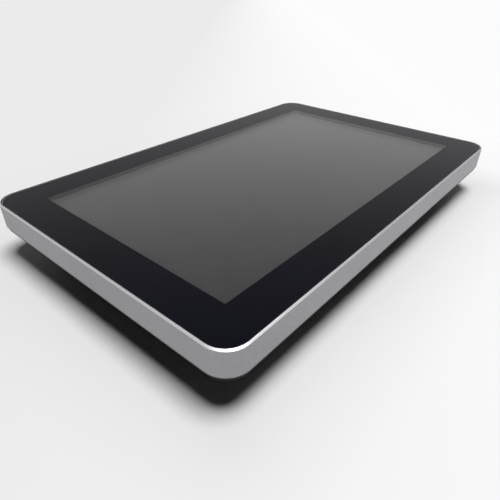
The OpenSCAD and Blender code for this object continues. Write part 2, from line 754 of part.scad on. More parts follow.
module memory_socket() color([0.13, 0.13, 0.14])
    translate([mem_x, mem_y, board_top]) difference() {
        union() {
            translate([-mem_socket_l / 2, -mem_socket_d / 2, 0])
                cube([mem_socket_l, mem_socket_d, mem_socket_h]);
            for (s = [-1, 1]) translate([s * (mem_socket_l - mem_t) / 2 - mem_t / 2, 0, 0])
                cube([mem_t, mem_arm_l, mem_socket_h - mem_t]);
        }
        translate([-(mem_l + slip) / 2, -mem_t, mem_lift - slip / 2])
            cube([mem_l + slip, mem_socket_d, mem_t + slip]);
    }

module memory_module() color([0.06, 0.30, 0.14])
    translate([mem_x, mem_y - mem_t + slip, board_top + mem_lift]) {
        translate([-mem_l / 2, 0, 0]) cube([mem_l, mem_d, mem_t]);
        for (i = [-1.5 : 1.5]) translate([i * mem_chip_pitch - mem_chip_w / 2, mem_chip_d, mem_t - overlap])
            cube([mem_chip_w, mem_chip_d, mem_chip_t + overlap]);
    }

module card_sockets() color([0.13, 0.13, 0.14])
    for (c = [ssd, wifi]) translate([c[0], c[1], board_top]) rotate([0, 0, c[3]]) difference() {
        translate([-card_w / 2, -card_key, 0]) cube([card_w, card_socket_d, card_socket_h]);
        box(card_edge - slip - card_w / 2, card_w / 2 - card_edge + slip, -card_key - through, slip,
            card_z - board_top - slip / 2, card_z - board_top + card_t + slip / 2);
    }

module card(c) translate([c[0], c[1], card_z]) rotate([0, 0, c[3]]) difference() {
    union() {
        box(-card_w / 2, card_w / 2, -c[2], -card_key - slip, 0, card_t);
        box(card_edge - card_w / 2, card_w / 2 - card_edge, -c[2], 0, 0, card_t);
        for (i = [0 : c[4] - 1])
            translate([-card_chip_w / 2, -card_chip_d * 1.5 - i * card_chip_pitch, card_t / 2])
                cube([card_chip_w, card_chip_d, card_t / 2 + card_chip_t]);
    }
    translate([0, card_edge - c[2], -through]) cylinder(r = thread_r, h = card_t + 2 * through);
}

module ssd_card() color([0.08, 0.22, 0.35]) card(ssd);
module wifi_card() color([0.08, 0.30, 0.18]) card(wifi);

module card_screws() color([0.62, 0.63, 0.65])
    for (c = [ssd, wifi]) translate([c[0], c[1], card_z + card_t]) rotate([0, 0, c[3]])
        translate([0, card_edge - c[2], 0]) mirror([0, 0, 1])
            screw(card_screw_r, card_z + card_t - board_top, 2 * card_screw_r, card_screw_r);

module coin_holder() color([0.14, 0.14, 0.15])
    translate([coin_x, coin_y, board_top]) difference() {
        cylinder(r = coin_r + coin_rim, h = coin_t);
        translate([0, 0, coin_floor]) cylinder(r = coin_r + slip / 2, h = coin_t);
    }

module coin_cell() color([0.80, 0.80, 0.78])
    translate([coin_x, coin_y, board_top + coin_floor]) cylinder(r = coin_r, h = coin_t);

// ---- Jacks ----

// A shielded jack that stands on the mainboard and opens into the cable bay
module modular_jack(size, mouth_w) {
    translate([size[0], jack_y, board_top]) difference() {
        translate([-size[1] / 2, 0, 0]) cube([size[1], size[3], size[2]]);
        translate([-mouth_w / 2, -through, mouth_z - board_top]) cube([mouth_w, mouth_d + through, mouth_h]);
        translate([-catch_w / 2, -through, mouth_z - board_top + mouth_h - slip])
            cube([catch_w, mouth_d + through, catch_h + slip]);
    }
    for (i = [-3.5 : 3.5])
        translate([size[0] + i * contact_pitch - contact_w / 2, jack_y + contact_in, mouth_z - slip])
            cube([contact_w, mouth_d - contact_in + slip, contact_h + slip]);
}

module lan_jack() color([0.70, 0.71, 0.73]) modular_jack(lan_size, rj_mouth_w);
module com_jack() color([0.16, 0.16, 0.17]) modular_jack(com_size, rj_mouth_w);
module drawer_jack() color([0.16, 0.16, 0.17]) modular_jack(drawer_size, rj12_mouth_w);

module dc_jack() color([0.10, 0.10, 0.11])
    translate([dc_size[0], jack_y, board_top]) {
        difference() {
            translate([-dc_size[1] / 2, 0, 0]) cube([dc_size[1], dc_size[3], dc_size[2]]);
            translate([0, -through, dc_size[2] / 2]) rotate([-90, 0, 0])
                cylinder(r = dc_bore_r, h = dc_bore_l + through);
        }
        translate([0, dc_pin_in, dc_size[2] / 2]) rotate([-90, 0, 0])
            cylinder(r = dc_pin_r, h = dc_bore_l - 1);
    }

// A flat shell with a tongue inside, for the display and data ports
module shell_port(w, h, d, lip, tongue_t) {
    difference() {
        translate([-w / 2, 0, 0]) cube([w, d, h]);
        translate([-w / 2 + lip, -through, lip]) cube([w - 2 * lip, d - port_back + through, h - 2 * lip]);
    }
    translate([-w / 2 + lip + tongue_in, 1, (h - tongue_t) / 2])
        cube([w - 2 * (lip + tongue_in), d - port_back, tongue_t]);
}

module hdmi_port() color([0.72, 0.73, 0.75])
    translate([hdmi_size[0], jack_y, board_top])
        shell_port(hdmi_size[1], hdmi_size[2], hdmi_size[3], 0.5, 1);

module usb_ports() color([0.72, 0.73, 0.75])
    for (i = [0, 1]) translate([usb_size[0] + i * usb_pitch, jack_y, board_top])
        shell_port(usb_size[1], usb_size[2], usb_size[3], 0.4, 1.8);

// ---- Internal cables ----

module display_connector() color([0.90, 0.88, 0.80])
    box(-connector_w / 2, connector_w / 2, board_y1 - connector_d - connector_in, board_y1 - connector_in,
        board_top, board_top + connector_h);

module display_cable() color([0.20, 0.20, 0.22]) {
    low = board_top + connector_h;
    box(-ribbon_w / 2, ribbon_w / 2, board_y1 - connector_d, ribbon_y + flat_t, low, low + flat_t);
    box(-ribbon_w / 2, ribbon_w / 2, ribbon_y, ribbon_y + flat_t, low, tray_bot);
    box(-ribbon_w / 2, ribbon_w / 2, ribbon_y, ribbon_y + ribbon_l, tray_bot - flat_t, tray_bot);
}

module wifi_antennas() color([0.80, 0.55, 0.20])
    for (s = [-1, 1]) translate([s * antenna_x - antenna_d / 2, -antenna_w / 2, floor_z])
        cube([antenna_d, antenna_w, antenna_t]);

module antenna_cables() color([0.75, 0.75, 0.76]) {
    low = card_z + card_t + bead_r;
    high = card_z + wire_lift;
    for (s = [-1, 1]) {
        x = wifi[0] + wifi[2] - antenna_turn + s * antenna_lead;
        wire([[x, antenna_run_y - antenna_lead, low], [x, antenna_run_y, high],
            [s * antenna_run_x, antenna_run_y, high],
            [s * antenna_x, antenna_land_y, floor_z + antenna_t + bead_r]]);
    }
}

module button_cable() color([0.15, 0.15, 0.16]) {
    run = frame_bot + 2 * bead_r;
    top = switch_board_z0 + 2 * bead_r;
    land = [board_w / 2 - button_land, board_y1 - 2.5];
    wire([[board_back - bead_r, button_wire_y, top], [button_wire_x, button_wire_y, top],
        [button_wire_x, button_wire_y, run], [land.x, land.y, run], [land.x, land.y, board_top + bead_r]]);
}

module speaker_cables() color([0.50, 0.08, 0.08])
    for (s = [-1, 1]) wire([[s * speaker_lead_x, speaker_y0 - bead_r, board_top + 6 * bead_r],
        [s * speaker_lead_x, board_y1 - bead_r - slip, board_top + bead_r]]);

// ---- Power key ----

module power_button() color([0.70, 0.71, 0.74]) {
    translate([key_in - overlap, key_y, key_z]) rotate([90, 0, 90])
        pill(key_l, key_h, key_face - key_in + overlap);
    translate([key_in - key_flange_t, key_y, key_z]) rotate([90, 0, 90])
        pill(key_l + 2 * key_flange_l, key_h + 2 * key_flange_h, key_flange_t);
    translate([key_in - key_flange_t - nib_t, key_y, key_z]) rotate([0, 90, 0])
        cylinder(r = plunger_r, h = nib_t + overlap);
}

module switch_plunger() color([0.15, 0.15, 0.16])
    translate([switch_face - plunger_in, key_y, key_z]) rotate([0, 90, 0])
        cylinder(r = plunger_r, h = key_in - key_flange_t - nib_t - switch_face + plunger_in);

module power_switch() color([0.62, 0.63, 0.65]) difference() {
    box(switch_back, switch_face, key_y - switch_w / 2, key_y + switch_w / 2,
        key_z - switch_h / 2, key_z + switch_h / 2);
    translate([switch_face - plunger_in - key_travel - 2 * thread_gap, key_y, key_z]) rotate([0, 90, 0])
        cylinder(r = plunger_r + thread_gap, h = switch_t);
}

module button_board() color([0.05, 0.33, 0.16])
    box(board_back, switch_back, key_y - switch_board_w / 2, key_y + switch_board_w / 2,
        switch_board_z0, switch_board_z1);

// ---- Rear housing ----

module house_outer() {
    translate([0, 0, rear_z]) leaning(house_w, house_d, flange_bot - rear_z, house_r, house_draft);
    translate([0, 0, flange_bot]) slab(flange_w, flange_d, flange_t, flange_r);
}

module house_inner() {
    lean = house_draft * (flange_bot - floor_z) / (flange_bot - rear_z);
    translate([0, 0, floor_z])
        leaning(house_w - 2 * wall, house_d - 2 * wall, flange_bot - floor_z, house_r - wall, lean);
    translate([0, 0, flange_bot - overlap / 2])
        slab(house_w - 2 * wall, house_d - 2 * wall, flange_t + through, house_r - wall);
}

// Hole in the bay's back wall in front of one jack's mouth
module port_hole(x, w, z0, z1)
    box(x - w / 2 - port_gap, x + w / 2 + port_gap, bay_y - through, bay_y + bay_wall_t + through,
        z0 - port_gap, z1 + port_gap);

module port_holes() {
    rj_top = mouth_z + mouth_h;
    port_hole(lan_size[0], rj_mouth_w, mouth_z, rj_top);
    port_hole(com_size[0], rj_mouth_w, mouth_z, rj_top);
    port_hole(drawer_size[0], rj12_mouth_w, mouth_z, rj_top);
    port_hole(hdmi_size[0], hdmi_size[1], board_top, board_top + hdmi_size[2]);
    for (i = [0, 1]) port_hole(usb_size[0] + i * usb_pitch, usb_size[1], board_top, board_top + usb_size[2]);
    translate([dc_size[0], bay_y - through, board_top + dc_size[2] / 2]) rotate([-90, 0, 0])
        cylinder(r = dc_bore_r + 1, h = bay_wall_t + 2 * through);
}

module vents() {
    for (i = [0 : vent_count - 1])
        translate([(i - (vent_count - 1) / 2) * vent_pitch, vent_y, rear_z - pad_t - through])
            rotate([0, 0, 90]) pill(vent_l, vent_w, wall + pad_t + 2 * through);
    for (s = [-1, 1], i = [0 : side_vent_count - 1])
        translate([s * (side_vent_x + i * vent_pitch), 0, rear_z - through])
            rotate([0, 0, 90]) pill(side_vent_l, vent_w, wall + 2 * through);
    // Slots in front of the two loudspeakers
    for (s = [-1, 1], i = [-2 : 2])
        translate([s * speaker_x, speaker_y + i * grille_pitch, rear_z - through])
            pill(grille_l, grille_w, wall + 2 * through);
}

module rear_cover() color([0.10, 0.10, 0.11]) difference() {
    union() {
        difference() {
            union() {
                house_outer();
                translate([0, 0, rear_z - pad_t]) slab(pad_w, pad_w, pad_t + overlap, pad_r);
            }
            house_inner();
        }
        // Walls and ceiling of the cable bay
        intersection() {
            house_outer();
            box(-bay_w / 2 - wall, bay_w / 2 + wall, -house_d / 2 - through, bay_y + bay_wall_t,
                rear_z, frame_bot);
        }
        for (sx = [-1, 1], sy = [-1, 1])
            translate([sx * mount_pitch / 2, sy * mount_pitch / 2, rear_z])
                cylinder(r = pillar_r, h = pillar_top - rear_z);
        for (p = board_fix) translate([p.x, p.y, floor_z - overlap])
            cylinder(r = boss_post_r, h = stud_h + overlap);
    }
    difference() {
        box(-bay_w / 2, bay_w / 2, -house_d / 2 - through, bay_y, rear_z - through, flange_bot);
        for (s = [-1, 1]) translate([s * (bay_w / 2 - rail_w / 2), bay_y, rear_z + rail_t / 2])
            cube([rail_w, 2 * house_d, rail_t], center = true);
    }
    port_holes();
    vents();
    for (sx = [-1, 1], sy = [-1, 1]) {
        translate([sx * mount_pitch / 2, sy * mount_pitch / 2, rear_z - pad_t - through])
            cylinder(r = insert_r, h = insert_h + through);
        translate([sx * foot_x, sy * foot_y, rear_z - through])
            cylinder(r = foot_r + slip, h = foot_pocket + through);
    }
    for (p = board_fix) translate([p.x, p.y, floor_z - 2 * overlap])
        cylinder(r = thread_r, h = stud_h + 2 * overlap + through);
    for (p = cover_fix) translate([p.x, p.y, flange_bot - through]) {
        cylinder(r = hole_r, h = flange_t + 2 * through);
        cylinder(r = head_r + slip, h = head_h + through);
    }
}

module cover_screws() color([0.20, 0.20, 0.22])
    for (p = cover_fix) translate([p.x, p.y, flange_bot + head_h]) screw(screw_r, grip, head_r, head_h);

module mount_inserts() color([0.78, 0.62, 0.28])
    for (sx = [-1, 1], sy = [-1, 1]) translate([sx * mount_pitch / 2, sy * mount_pitch / 2, rear_z - pad_t])
        difference() {
            cylinder(r = insert_r, h = insert_h);
            translate([0, 0, -through]) cylinder(r = mount_hole_r, h = insert_h + 2 * through);
        }

module cable_cover() color([0.12, 0.12, 0.13]) {
    step = rail_t + slip;
    top = rear_z + cover_t;
    box(-bay_w / 2 + rail_w + slide_gap, bay_w / 2 - rail_w - slide_gap, cover_y0, cover_y1, rear_z, top);
    box(-cover_w / 2, cover_w / 2, cover_y0, cover_y1, rear_z + step, top);
    box(comb_end - cover_w / 2, cover_w / 2 - comb_end, cover_y0, cover_y0 + comb_t,
        top - overlap, top + comb_h);
    for (i = [0 : 3])
        translate([-grip_rib_l / 2, cover_y0 + (i + 1) * grip_rib_pitch, rear_z - grip_rib_h])
            cube([grip_rib_l, grip_rib_w, grip_rib_h + overlap]);
}

module rubber_feet() color([0.06, 0.06, 0.06])
    for (sx = [-1, 1], sy = [-1, 1]) translate([sx * foot_x, sy * foot_y, 0])
        cylinder(r = foot_r, h = foot_h + foot_pocket);

// ---- Loudspeakers ----

module speaker(s) translate([s * speaker_x, speaker_y, speaker_z]) difference() {
    translate([-speaker_l / 2, -speaker_d / 2, 0]) cube([speaker_l, speaker_d, speaker_h]);
    translate([0, 0, -through]) pill(driver_l, driver_d, cone_h + through);
}

module speaker_left() color([0.13, 0.13, 0.14]) speaker(-1);
module speaker_right() color([0.13, 0.13, 0.14]) speaker(1);

module speaker_gaskets() color([0.25, 0.25, 0.26])
    for (s = [-1, 1]) translate([s * speaker_x, speaker_y, floor_z]) difference() {
        translate([-driver_l / 2 - gasket_rim, edge_in - speaker_d / 2, 0])
            cube([driver_l + 2 * gasket_rim, speaker_d - 2 * edge_in, gasket_t]);
        translate([0, 0, -through]) pill(driver_l, driver_d, gasket_t + 2 * through);
    }

front_frame();
cover_glass();
border_print();
glass_tape();
touch_sensor();
touch_flex();
touch_controller();
touch_cable();
display_gasket();
lcd_bezel();
front_polariser();
lcd_panel();
optical_films();
light_guide();
led_strip();
reflector_sheet();
lcd_tray();
display_bracket_left();
display_bracket_right();
chassis_plate();
chassis_screws();
mainboard();
board_screws();
processor();
thermal_pad();
heatsink();
heatsink_screws();
memory_socket();
memory_module();
card_sockets();
ssd_card();
wifi_card();
card_screws();
wifi_antennas();
antenna_cables();
coin_holder();
coin_cell();
dc_jack();
hdmi_port();
com_jack();
lan_jack();
drawer_jack();
usb_ports();
display_connector();
display_cable();
power_button();
switch_plunger();
power_switch();
button_board();
button_cable();
rear_cover();
cover_screws();
mount_inserts();
cable_cover();
rubber_feet();
speaker_left();
speaker_right();
speaker_gaskets();
speaker_cables();
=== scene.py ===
import math
import random

import bmesh
import bpy
from mathutils import Matrix, Vector


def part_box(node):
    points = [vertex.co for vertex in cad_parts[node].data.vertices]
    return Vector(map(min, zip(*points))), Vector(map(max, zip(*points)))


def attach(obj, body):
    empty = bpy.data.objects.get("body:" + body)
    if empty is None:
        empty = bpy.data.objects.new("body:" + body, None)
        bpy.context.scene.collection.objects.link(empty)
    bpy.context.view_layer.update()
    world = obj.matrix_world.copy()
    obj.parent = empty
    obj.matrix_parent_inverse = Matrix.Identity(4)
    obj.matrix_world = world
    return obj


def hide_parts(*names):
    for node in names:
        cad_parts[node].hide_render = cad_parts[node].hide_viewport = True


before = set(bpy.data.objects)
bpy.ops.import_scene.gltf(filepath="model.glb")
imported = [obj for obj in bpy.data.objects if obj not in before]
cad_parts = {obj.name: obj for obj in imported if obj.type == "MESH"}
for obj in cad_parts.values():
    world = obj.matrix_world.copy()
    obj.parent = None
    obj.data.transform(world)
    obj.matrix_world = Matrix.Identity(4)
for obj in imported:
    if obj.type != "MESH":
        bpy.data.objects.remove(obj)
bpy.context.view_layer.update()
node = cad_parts

# ---- Camera ----
# A phone held low over the near left corner of the terminal, looking down at it along its long diagonal.
# Its place and its three axes come from the straight edges of the glass and the frame.
camera_data = bpy.data.cameras.new("camera")
camera_data.lens = 31.53
camera_data.clip_start = 0.01
camera = bpy.data.objects.new("camera", camera_data)
bpy.context.scene.collection.objects.link(camera)
right = Vector((0.652241, -0.757961, 0.008735))
down = Vector((-0.411368, -0.363623, -0.835796))
ahead = Vector((0.636677, 0.541547, -0.548970))
stand = Vector((-0.2004, -0.1520, 0.1369))
aim = Matrix((right, -down, -ahead)).transposed().to_4x4()
camera.matrix_world = Matrix.Translation(stand) @ aim
bpy.context.scene.camera = camera
bpy.context.scene.view_settings.view_transform = "Standard"


# ---- Table and light ----
# A white laminate table that fills the picture, under one large soft lamp high over the terminal. The room is dim
# on the near side and pale beyond the far right corner; metal and glass show pale walls on both sides.
def shader(name):
    """A new material, its nodes and links, and the Principled shader on its output."""
    material = bpy.data.materials.new(name)
    material.use_nodes = True
    tree = material.node_tree
    return material, tree, tree.nodes["Principled BSDF"]


def noise(tree, scale, detail=2.0, rough=0.5):
    """Noise in the object's own space; scale is in lumps per metre."""
    where = tree.nodes.new("ShaderNodeTexCoord")
    texture = tree.nodes.new("ShaderNodeTexNoise")
    texture.inputs["Scale"].default_value = scale
    texture.inputs["Detail"].default_value = detail
    texture.inputs["Roughness"].default_value = rough
    tree.links.new(where.outputs["Object"], texture.inputs["Vector"])
    return texture.outputs["Fac"]


def levels(tree, value, stops):
    """A grey that follows value through the stops: (value, grey) pairs."""
    ramp = tree.nodes.new("ShaderNodeValToRGB")
    points = ramp.color_ramp.elements
    for index, (place, grey) in enumerate(stops):
        point = points[index] if index < 2 else points.new(place)
        point.position = place
        point.color = (grey, grey, grey, 1)
    tree.links.new(value, ramp.inputs["Fac"])
    return ramp.outputs["Color"]


def blend_colours(tree, factor, first, second):
    """A mix of two colours; each is a triple or an output socket."""
    mix = tree.nodes.new("ShaderNodeMix")
    mix.data_type = "RGBA"
    for name, colour in (("A", first), ("B", second)):
        socket = [s for s in mix.inputs if s.name == name and s.type == "RGBA"][0]
        if isinstance(colour, tuple):
            socket.default_value = (*colour, 1)
        else:
            tree.links.new(colour, socket)
    tree.links.new(factor, mix.inputs["Factor"])
    return [s for s in mix.outputs if s.type == "RGBA"][0]


def blend_shaders(tree, factor, first, second):
    """Leads a mix of two shaders to the material's output."""
    mix = tree.nodes.new("ShaderNodeMixShader")
    tree.links.new(factor, mix.inputs["Fac"])
    tree.links.new(first, mix.inputs[1])
    tree.links.new(second, mix.inputs[2])
    tree.links.new(mix.outputs["Shader"], tree.nodes["Material Output"].inputs["Surface"])


def seen(tree):
    """1 for the rays that show a place in the picture, straight or by way of metal and glass."""
    ray = tree.nodes.new("ShaderNodeLightPath")
    total = ray.outputs["Is Camera Ray"]
    for kind in ("Is Glossy Ray", "Is Transmission Ray"):
        plus = tree.nodes.new("ShaderNodeMath")
        plus.use_clamp = True
        tree.links.new(total, plus.inputs[0])
        tree.links.new(ray.outputs[kind], plus.inputs[1])
        total = plus.outputs["Value"]
    return total


table_half = 8.0
table_drop = 0.00002  # so that the table's face and the soles of the feet don't share a plane
corners = [(-table_half, -table_half, 0), (table_half, -table_half, 0),
           (table_half, table_half, 0), (-table_half, table_half, 0)]
table_mesh = bpy.data.meshes.new("table")
table_mesh.from_pydata(corners, [], [(0, 1, 2, 3)])
table = bpy.data.objects.new("table", table_mesh)
bpy.context.scene.collection.objects.link(table)
table.location.z = -table_drop
laminate, tree, surface = shader("table_laminate")
surface.inputs["Roughness"].default_value = 0.6
pale = blend_colours(tree, noise(tree, 12.0), (0.895, 0.895, 0.905), (0.905, 0.905, 0.91))
tree.links.new(pale, surface.inputs["Base Color"])

# The table turns into a pale glowing backdrop by the distance from the frame's rectangle. Its rise from 6 mm to 45
# mm out is painted shadow: it paints the slow outer fade of the terminal's shadow on the table.
frame_half = (0.132, 0.085, 0)
backdrop_and_painted_shadow_edge = ((0.006, 0), (0.020, 0.40), (0.045, 0.85), (0.12, 1))
on_table = tree.nodes.new("ShaderNodeTexCoord").outputs["Object"]
reach = on_table
for operation, amount in (("ABSOLUTE", None), ("SUBTRACT", frame_half), ("MAXIMUM", (0, 0, 0)), ("LENGTH", None)):
    step = tree.nodes.new("ShaderNodeVectorMath")
    step.operation = operation
    if amount:
        step.inputs[1].default_value = amount
    tree.links.new(reach, step.inputs[0])
    reach = step.outputs["Value" if operation == "LENGTH" else "Vector"]
away = tree.nodes.new("ShaderNodeMath")
away.operation = "MULTIPLY"
tree.links.new(levels(tree, reach, backdrop_and_painted_shadow_edge), away.inputs[0])
tree.links.new(seen(tree), away.inputs[1])

# The backdrop's glow holds painted light: it is greyer on the terminal's left and whiter on its right, over 0.4 m
# each way, painted as the light falling off across the table.
to_painted_light_side = (0.652241, -0.757961, 0)
side_reach = 0.40
painted_falloff_by_side = ((0.0, 0.83), (0.34, 0.83), (0.50, 0.92), (0.60, 0.96), (0.72, 0.98), (1.0, 0.97))
across = tree.nodes.new("ShaderNodeVectorMath")
across.operation = "DOT_PRODUCT"
across.inputs[1].default_value = to_painted_light_side
tree.links.new(on_table, across.inputs[0])
sideways = tree.nodes.new("ShaderNodeMapRange")
sideways.inputs["From Min"].default_value = -side_reach
sideways.inputs["From Max"].default_value = side_reach
tree.links.new(across.outputs["Value"], sideways.inputs["Value"])
backdrop_glow_with_painted_falloff = tree.nodes.new("ShaderNodeEmission")
tree.links.new(levels(tree, sideways.outputs["Result"], painted_falloff_by_side), backdrop_glow_with_painted_falloff.inputs["Color"])
# The backdrop glow mixes in over the table's own shading. It carries the painted shadow edge and the painted
# left-to-right falloff of light.
blend_shaders(tree, away.outputs["Value"], surface.outputs["BSDF"], backdrop_glow_with_painted_falloff.outputs["Emission"])
table_mesh.materials.append(laminate)

lamp_data = bpy.data.lights.new("ceiling_lamp", "AREA")
lamp_data.shape = "DISK"
lamp_data.size = 1.45
lamp_data.energy = 80.0
lamp_data.color = (1.0, 0.998, 0.992)
lamp = bpy.data.objects.new("ceiling_lamp", lamp_data)
bpy.context.scene.collection.objects.link(lamp)
lamp.location = (0.17, -0.36, 3.0)
lamp.rotation_euler = (-lamp.location).to_track_quat("-Z", "Y").to_euler()

# The lamp isn't mirrored in the cover glass, and what lies under the glass isn't lit twice: the glass lets its light
# through as a shadow ray, and takes no light from it itself.
unlit = bpy.data.collections.new("not_lit_by_ceiling_lamp")
unlit.objects.link(node["cover_glass"])
lamp.light_linking.receiver_collection = unlit
unlit.collection_objects[0].light_linking.link_state = "EXCLUDE"

world = bpy.data.worlds.new("room")
bpy.context.scene.world = world
world.use_nodes = True
room = world.node_tree
looking = room.nodes.new("ShaderNodeTexCoord")


def towards(direction):
    """How nearly a ray of the room points in a direction: 1 where it does."""
    dot = room.nodes.new("ShaderNodeVectorMath")
    dot.operation = "DOT_PRODUCT"
    dot.inputs[1].default_value = Vector(direction).normalized()
    room.links.new(looking.outputs["Generated"], dot.inputs[0])
    return dot.outputs["Value"]


def product(first, second):
    """The product of two colours."""
    made = room.nodes.new("ShaderNodeVectorMath")
    made.operation = "MULTIPLY"
    room.links.new(first, made.inputs[0])
    room.links.new(second, made.inputs[1])
    return made.outputs["Vector"]


up = towards((0, 0, 1))
far_side = towards((0.86, 0.51, 0))
far_wall = levels(room, up, ((0.0, 0.90), (0.10, 0.70), (0.24, 0.42), (0.36, 0.30), (0.54, 0.17), (0.78, 0.09)))
near_wall = levels(room, up, ((0.0, 0.86), (0.22, 0.80), (0.50, 0.40), (1.0, 0.40)))
shining = levels(room, far_side, ((0.25, 0.02), (0.45, 0.50), (0.62, 0.80), (0.80, 1.0)))
shown = blend_colours(room, levels(room, far_side, ((0.20, 0.0), (0.62, 1.0))), near_wall, far_wall)
light = blend_colours(room, seen(room), product(far_wall, shining), shown)
room.links.new(light, room.nodes["Background"].inputs["Color"])

# ---- Front frame ----
# One aluminium ring, cut from plate and bead-blasted, then anodised clear. Its top edge has a 45-degree bevel that
# was cut bright after anodising. Bosses inside it take the screws of everything that it carries.
MM = 0.001


def spread(tree, factor, low, high):
    """The factor's middle stretch, 0.3 to 0.7, moved onto low to high."""
    span = tree.nodes.new("ShaderNodeMapRange")
    span.inputs["From Min"].default_value = 0.3
    span.inputs["From Max"].default_value = 0.7
    span.inputs["To Min"].default_value = low
    span.inputs["To Max"].default_value = high
    tree.links.new(factor, span.inputs["Value"])
    return span.outputs["Result"]


def relief(tree, surface, height, depth, strength=1.0, normal=None):
    """Bump of a real depth in metres, over the shape's own normal or another."""
    bump = tree.nodes.new("ShaderNodeBump")
    bump.inputs["Strength"].default_value = strength
    bump.inputs["Distance"].default_value = depth
    tree.links.new(height, bump.inputs["Height"])
    if normal is not None:
        tree.links.new(normal, bump.inputs["Normal"])
    tree.links.new(bump.outputs["Normal"], surface.inputs["Normal"])


def paint(material, *names):
    """Gives CAD nodes their finish."""
    for name in names:
        node[name].data.materials.clear()
        node[name].data.materials.append(material)


metal, tree, surface = shader("blasted_aluminium")
upright = tree.nodes.new("ShaderNodeTexCoord")
parts = tree.nodes.new("ShaderNodeSeparateXYZ")
tree.links.new(upright.outputs["Normal"], parts.inputs["Vector"])
bright_cut = levels(tree, parts.outputs["Z"], ((0.55, 0), (0.62, 1), (0.80, 1), (0.87, 0)))
beads = noise(tree, 4500.0, 3.0)
cloudy = blend_colours(tree, spread(tree, noise(tree, 35.0), 0, 1), (0.372, 0.372, 0.388), (0.402, 0.400, 0.415))
grit = spread(tree, noise(tree, 1100.0, 4.0), 0, 0.5)
satin = blend_colours(tree, grit, cloudy, (0.475, 0.475, 0.489))
tree.links.new(blend_colours(tree, bright_cut, satin, (0.90, 0.90, 0.91)), surface.inputs["Base Color"])
surface.inputs["Metallic"].default_value = 1.0
gloss = tree.nodes.new("ShaderNodeMix")
tree.links.new(bright_cut, gloss.inputs["Factor"])
tree.links.new(spread(tree, beads, 0.57, 0.67), gloss.inputs["A"])
gloss.inputs["B"].default_value = 0.42
tree.links.new(gloss.outputs["Result"], surface.inputs["Roughness"])

# The cut face is a little crowned and its edges are eased, so it mirrors more of what is above it.
eased = tree.nodes.new("ShaderNodeBevel")
eased.samples = 8
eased.inputs["Radius"].default_value = 0.4 * MM
crown = tree.nodes.new("ShaderNodeVectorMath")
crown.operation = "MULTIPLY_ADD"
crown.inputs[1].default_value = (0, 0, 0.5)
tree.links.new(bright_cut, crown.inputs[0])
tree.links.new(eased.outputs["Normal"], crown.inputs[2])
relief(tree, surface, beads, 0.012 * MM, 0.6, crown.outputs["Vector"])
paint(metal, "front_frame")

# ---- Cover glass ----
# A clear sheet of strengthened glass, ground to a fine edge and set flush in the frame. Lamps shine through it, so
# that the display under it is lit as the real one is.
glass, tree, surface = shader("cover_glass")
surface.inputs["Base Color"].default_value = (0.98, 0.978, 0.985, 1)
surface.inputs["IOR"].default_value = 1.5
surface.inputs["Transmission Weight"].default_value = 1.0
tree.links.new(spread(tree, noise(tree, 90.0), 0.0, 0.02), surface.inputs["Roughness"])
clear = tree.nodes.new("ShaderNodeBsdfTransparent")
ray = tree.nodes.new("ShaderNodeLightPath")
blend_shaders(tree, ray.outputs["Is Shadow Ray"], surface.outputs["BSDF"], clear.outputs["BSDF"])
paint(glass, "cover_glass")


# ---- Border and tape ----
# Black ink, screened on the back of the glass in two coats, leaves a square-cornered window. A frame of black foam
# tape behind it holds the glass on the ledge of the frame.
def finish(name, colour, rough, metal=0.0, grain=2500.0, depth=0.00001, mottle=0.06, swing=0.05, coat=0.0):
    """A finish with a fine grain, a slow change of tone and of gloss; the grain of metal is shallower."""
    material, tree, surface = shader(name)
    slow = noise(tree, 60.0)
    fine = noise(tree, grain, 3.0)
    dark = tuple(c * (1 - mottle) for c in colour)
    light = tuple(min(1.0, c * (1 + mottle)) for c in colour)
    tree.links.new(blend_colours(tree, spread(tree, slow, 0.0, 1.0), dark, light), surface.inputs["Base Color"])
    tree.links.new(spread(tree, fine, rough - swing, rough + swing), surface.inputs["Roughness"])
    surface.inputs["Metallic"].default_value = metal
    surface.inputs["Coat Weight"].default_value = coat
    if depth:
        relief(tree, surface, fine, depth * (0.15 if metal else 1.0))
    return material


def outline(width, depth, radius, z, steps=12):
    """A rectangle with round corners as a loop of points, anticlockwise from the right front corner."""
    points = []
    for corner, (sx, sy) in enumerate(((1, -1), (1, 1), (-1, 1), (-1, -1))):
        for step in range(steps + 1):
            angle = math.radians(90 * (corner - 1) + 90 * step / steps)
            x = sx * (width / 2 - radius) + radius * math.cos(angle)
            y = sy * (depth / 2 - radius) + radius * math.sin(angle)
            points.append((x, y, z))
    return points


def join_rings(shape, rings):
    """Lays a band of four-sided faces between each ring of points and the next."""
    for first, second in zip(rings, rings[1:]):
        count = len(first)
        for i in range(count):
            shape.faces.new((first[i], first[(i + 1) % count], second[(i + 1) % count], second[i]))


def flat_ring(outer, inner, low, high):
    """A flat ring between two outlines that have the same number of points."""
    shape = bmesh.new()
    rings = []
    for loop, z in ((outer, low), (outer, high), (inner, high), (inner, low)):
        rings.append([shape.verts.new((x, y, z)) for x, y, _ in loop])
    join_rings(shape, rings + rings[:1])
    return shape


def piece(name, shape, material, stands_for=()):
    """Turns a bmesh into a piece that rides on the terminal, and stands for the CAD nodes that it replaces."""
    mesh = bpy.data.meshes.new(name)
    bmesh.ops.recalc_face_normals(shape, faces=shape.faces)
    shape.to_mesh(mesh)
    shape.free()
    mesh.materials.append(material)
    made = bpy.data.objects.new(name, mesh)
    bpy.context.scene.collection.objects.link(made)
    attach(made, "terminal")
    if stands_for:
        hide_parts(*stands_for)
    return made


